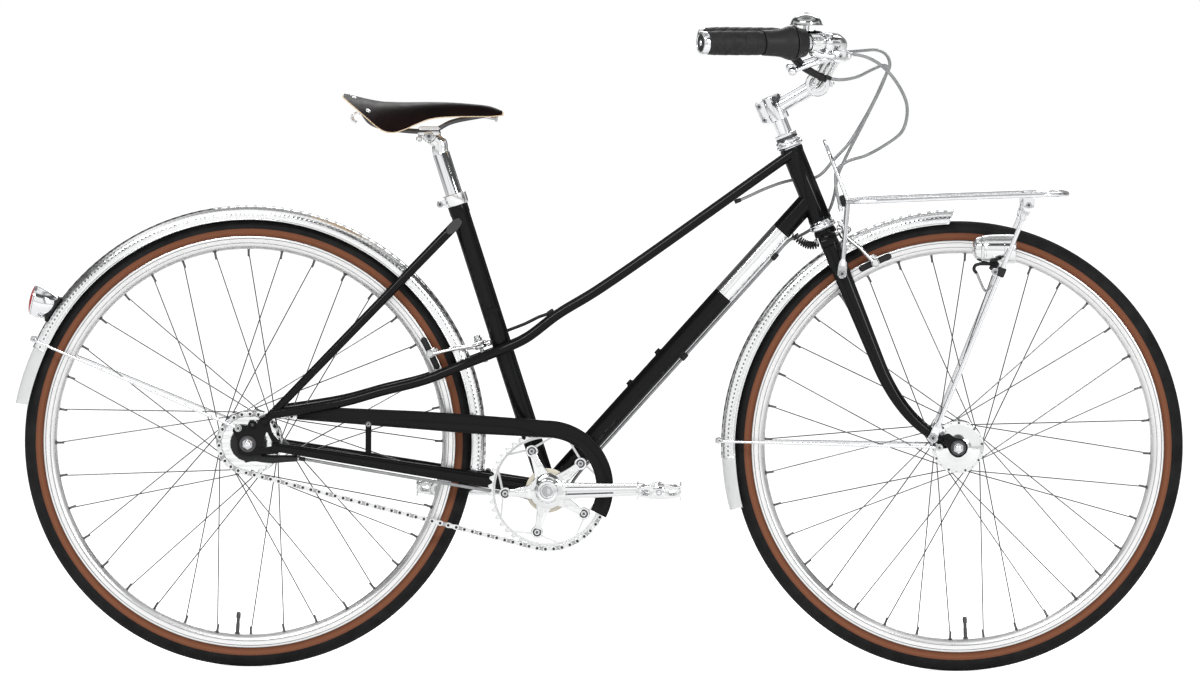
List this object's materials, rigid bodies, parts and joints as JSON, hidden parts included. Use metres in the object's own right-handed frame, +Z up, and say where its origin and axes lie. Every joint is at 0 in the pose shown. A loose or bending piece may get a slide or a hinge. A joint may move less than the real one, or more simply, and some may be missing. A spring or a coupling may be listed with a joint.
{
  "type": "step through bicycle",
  "caption": "Step-through city bicycle with a twin-tube frame, swept handlebar, front rack, fenders, chain guard, rim brakes and hub gear.",
  "frame": {"origin": "on the ground under the middle of the bicycle, in its middle plane", "axes": "+X forward, +Y to the rider's left, +Z up"},
  "size_m": [1.7801, 0.6132, 1.0043],
  "materials": {
    "black_paint": "gloss",
    "chrome": "mirror polish",
    "polished_alloy": "polished",
    "rim_alloy": "satin",
    "hammered_alloy": "hammered and polished",
    "tyre_rubber": "matte tread, brown side walls",
    "grip_leather": "stitched, semi matte",
    "black_plastic": "satin",
    "cable_housing": "smooth grey",
    "steel": "satin",
    "saddle_leather": "waxed, semi gloss"
  },
  "bodies": {
    "frame": {"head_tube": "black_paint", "down_tube": "black_paint", "seat_tube": "black_paint", "seat_stays": "black_paint", "mixte_stays": "black_paint", "chain_stay_left": "black_paint", "chain_stay_right": "black_paint", "seat_clamp": "polished_alloy", "rear_fender": "hammered_alloy", "rear_fender_stay": "steel", "tail_light": "chrome", "headset_lower_cup": "chrome", "headset_upper_cup": "chrome", "chain_guard": "black_paint", "rear_axle": "black_plastic", "chain": "steel", "rear_brake_cable_end": "cable_housing", "shift_cable": "cable_housing", "steering_spring": "black_plastic"},
    "fork": {"fork_crown": "black_paint", "fork_blade_left": "black_paint", "fork_blade_right": "black_paint", "stem": "chrome", "handlebar": "polished_alloy", "grip_left": "grip_leather", "grip_right": "grip_leather", "lever_bracket_left": "polished_alloy", "lever_bracket_right": "polished_alloy", "shifter_housing": "black_plastic", "bell": "chrome", "front_rack": "chrome", "rack_strut_left": "chrome", "rack_strut_right": "chrome", "headlamp": "polished_alloy", "front_fender": "hammered_alloy", "front_fender_stay": "steel", "front_axle": "steel", "front_brake_cable": "cable_housing", "rear_brake_cable": "cable_housing"},
    "front_wheel": {"front_tyre": "tyre_rubber", "front_rim": "rim_alloy", "front_hub_and_spokes": "polished_alloy"},
    "rear_wheel": {"rear_tyre": "tyre_rubber", "rear_rim": "rim_alloy", "rear_hub_and_spokes": "polished_alloy"},
    "sprocket": {"sprocket": "steel"},
    "crank": {"crank_right": "polished_alloy", "crank_left": "polished_alloy"},
    "pedal_right": {"pedal_right": "polished_alloy"},
    "pedal_left": {"pedal_left": "polished_alloy"},
    "brake_lever_left": {"brake_lever_left": "chrome"},
    "brake_lever_right": {"brake_lever_right": "chrome"},
    "twist_grip": {"twist_grip": "black_plastic"},
    "front_brake_arm_left": {"front_brake_arm_left": "polished_alloy"},
    "front_brake_arm_right": {"front_brake_arm_right": "polished_alloy"},
    "rear_brake_arm_left": {"rear_brake_arm_left": "polished_alloy"},
    "rear_brake_arm_right": {"rear_brake_arm_right": "polished_alloy"},
    "seatpost": {"seatpost": "polished_alloy", "saddle_rails": "chrome", "saddle_leather": "saddle_leather"}
  },
  "joints": [
    {"name": "steering", "type": "hinge", "parent": "frame", "child": "fork", "pos_m": [0.48887, 0, 0.31901], "axis": [-0.3827, 0, 0.9239], "range_deg": [-50, 50], "stiffness_Nm_per_rad": 4, "deforming": ["rear_brake_cable", "shift_cable", "steering_spring"]},
    {"name": "front_wheel_spin", "type": "hinge", "parent": "fork", "child": "front_wheel", "pos_m": [0.548, 0, 0.3435], "axis": [0, 1, 0], "continuous": true},
    {"name": "rear_wheel_spin", "type": "hinge", "parent": "frame", "child": "rear_wheel", "pos_m": [-0.532, 0, 0.3435], "axis": [0, 1, 0], "continuous": true},
    {"name": "crank_spin", "type": "hinge", "parent": "frame", "child": "crank", "pos_m": [-0.076, 0, 0.274], "axis": [0, 1, 0], "continuous": true},
    {"name": "sprocket_spin", "type": "hinge", "parent": "frame", "child": "sprocket", "pos_m": [-0.532, 0, 0.3435], "axis": [0, 1, 0], "continuous": true},
    {"name": "pedal_right_spin", "type": "hinge", "parent": "crank", "child": "pedal_right", "pos_m": [0.09393, 0, 0.27875], "axis": [0, 1, 0], "continuous": true},
    {"name": "pedal_left_spin", "type": "hinge", "parent": "crank", "child": "pedal_left", "pos_m": [-0.24593, 0, 0.26925], "axis": [0, 1, 0], "continuous": true},
    {"name": "brake_lever_left_pull", "type": "hinge", "parent": "fork", "child": "brake_lever_left", "pos_m": [0.35789, 0.19618, 0.93926], "axis": [0.4226, 0.9063, 0], "range_deg": [0, 14], "stiffness_Nm_per_rad": 1.2, "springref_deg": -14.32},
    {"name": "brake_lever_right_pull", "type": "hinge", "parent": "fork", "child": "brake_lever_right", "pos_m": [0.35789, -0.19618, 0.93926], "axis": [-0.4226, 0.9063, 0], "range_deg": [0, 6], "stiffness_Nm_per_rad": 1.2, "springref_deg": -14.32},
    {"name": "twist_shift", "type": "hinge", "parent": "fork", "child": "twist_grip", "pos_m": [0.29037, -0.22766, 0.95926], "axis": [-0.9063, -0.4226, 0], "range_deg": [0, 90]},
    {"name": "front_brake_arm_left_swing", "type": "hinge", "parent": "fork", "child": "front_brake_arm_left", "pos_m": [0.36152, 0, 0.66566], "axis": [-0.9239, 0, -0.3827], "range_deg": [0, 1.5]},
    {"name": "front_brake_arm_right_swing", "type": "hinge", "parent": "fork", "child": "front_brake_arm_right", "pos_m": [0.36152, 0, 0.66566], "axis": [0.9239, 0, 0.3827], "range_deg": [0, 1.5]},
    {"name": "rear_brake_arm_left_swing", "type": "hinge", "parent": "frame", "child": "rear_brake_arm_left", "pos_m": [-0.1782, 0, 0.48525], "axis": [-0.3469, 0, 0.9379], "range_deg": [0, 1.5]},
    {"name": "rear_brake_arm_right_swing", "type": "hinge", "parent": "frame", "child": "rear_brake_arm_right", "pos_m": [-0.1782, 0, 0.48525], "axis": [0.3469, 0, -0.9379], "range_deg": [0, 1.5]},
    {"name": "seatpost_height", "type": "slide", "parent": "frame", "child": "seatpost", "axis": [-0.309, 0, 0.9511], "range_m": [-0.05, 0.1]}
  ],
  "couplings": [
    {"joint": "sprocket_spin", "follows": "crank_spin", "ratio": 2},
    {"joint": "front_brake_arm_left_swing", "follows": "brake_lever_right_pull", "ratio": 0.25},
    {"joint": "front_brake_arm_right_swing", "follows": "brake_lever_right_pull", "ratio": 0.25},
    {"joint": "rear_brake_arm_left_swing", "follows": "brake_lever_left_pull", "ratio": 0.1071},
    {"joint": "rear_brake_arm_right_swing", "follows": "brake_lever_left_pull", "ratio": 0.1071}
  ]
}
